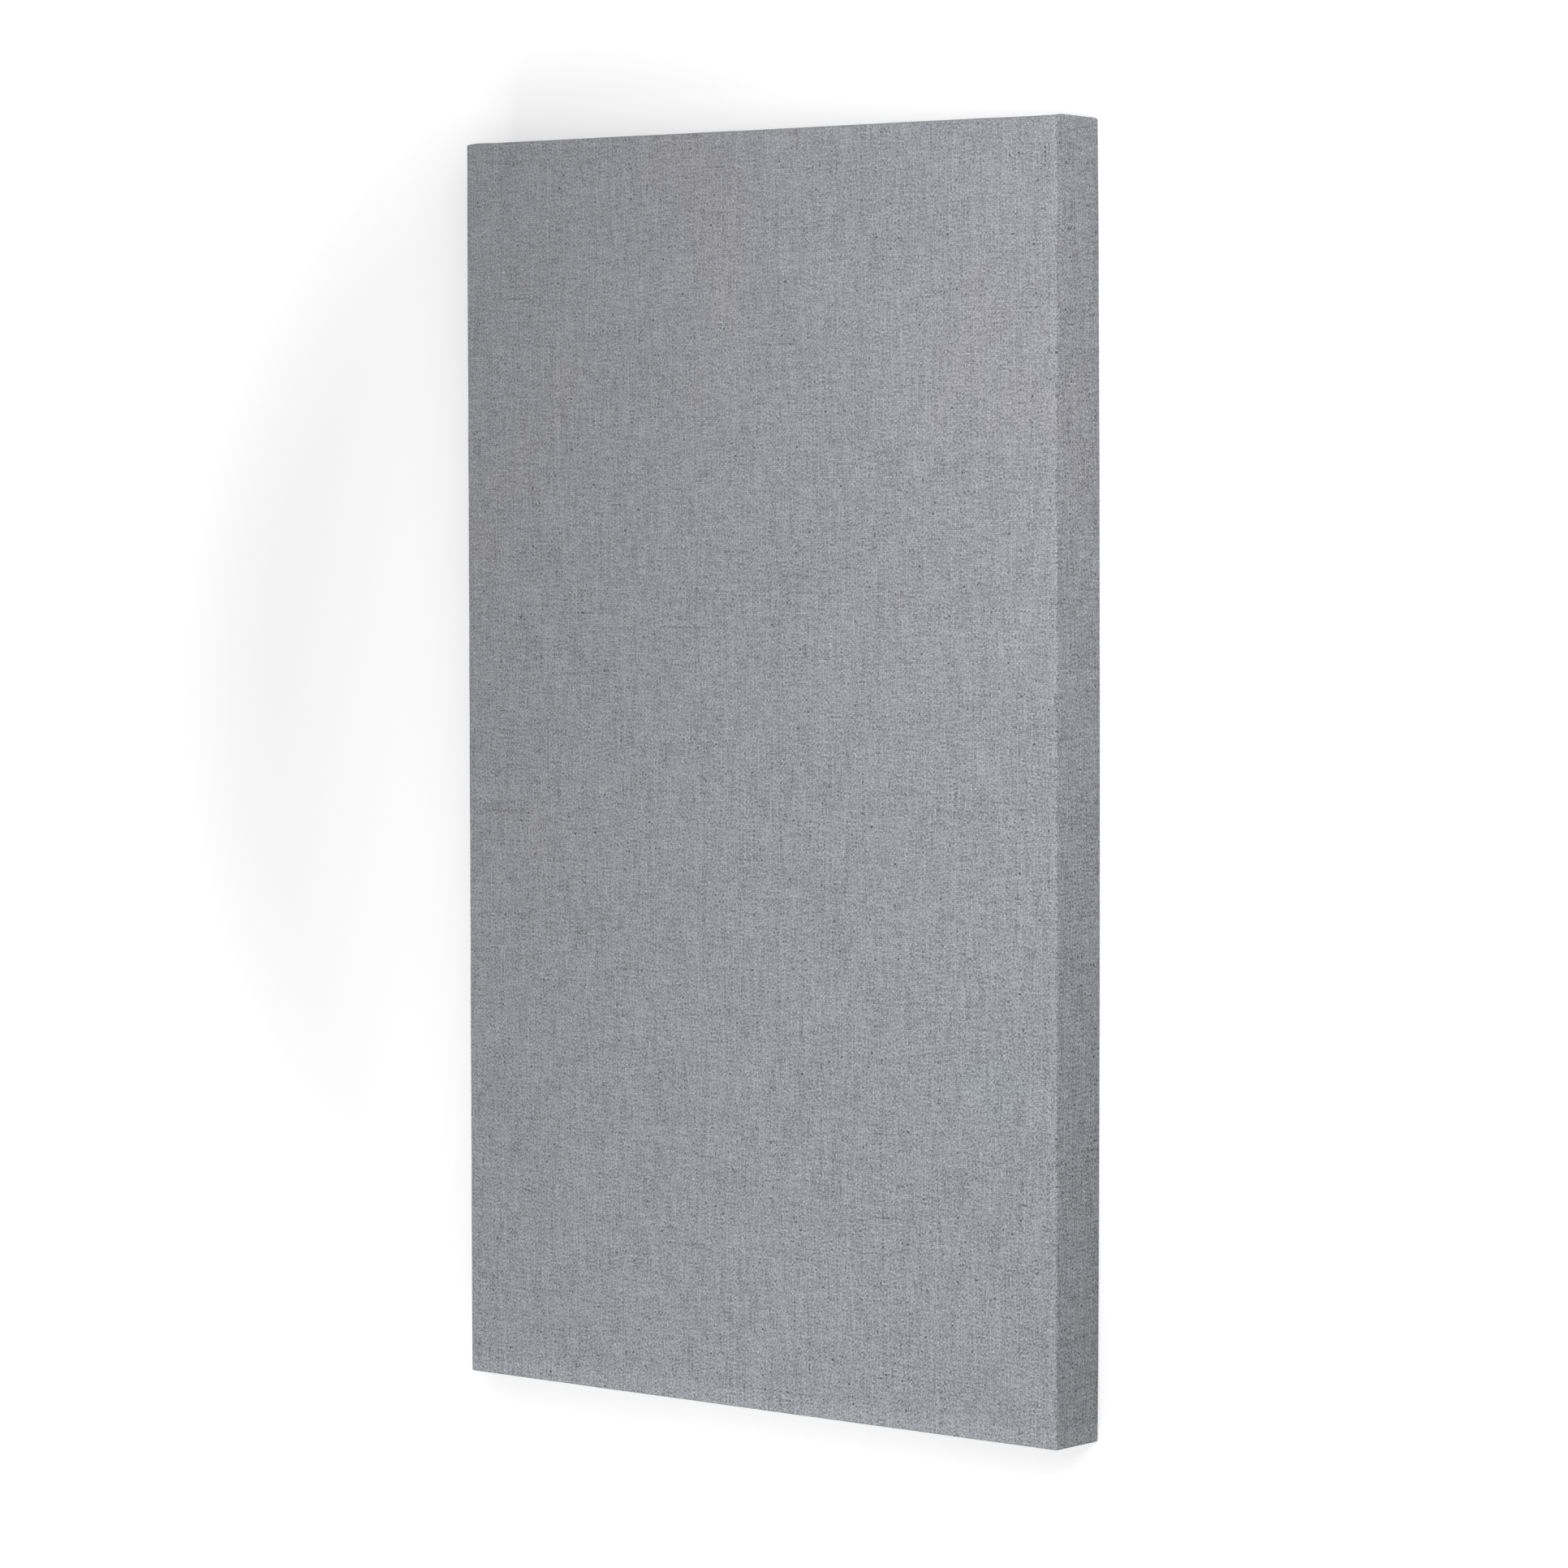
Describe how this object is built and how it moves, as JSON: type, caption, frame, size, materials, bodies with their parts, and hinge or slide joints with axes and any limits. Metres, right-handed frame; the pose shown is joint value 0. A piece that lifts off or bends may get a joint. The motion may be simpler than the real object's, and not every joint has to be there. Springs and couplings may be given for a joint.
{
  "type": "fabric acoustic wall panel",
  "caption": "Flat rectangular sound-absorbing wall panel: a rigid mineral wool board wrapped in woven cloth, with mitred folds behind.",
  "frame": {"origin": "under the middle of the panel, on the plane its back lies on", "axes": "+X across the width, +Y along the length towards the end that hangs uppermost, +Z out of the front"},
  "size_m": [0.602, 1.002, 0.052],
  "materials": {
    "mineral_wool": "matt bonded fibre",
    "cloth": "matt grey melange plain weave"
  },
  "bodies": {
    "root": {"core_board": "mineral_wool", "fabric_cover": "cloth"}
  },
  "joints": []
}
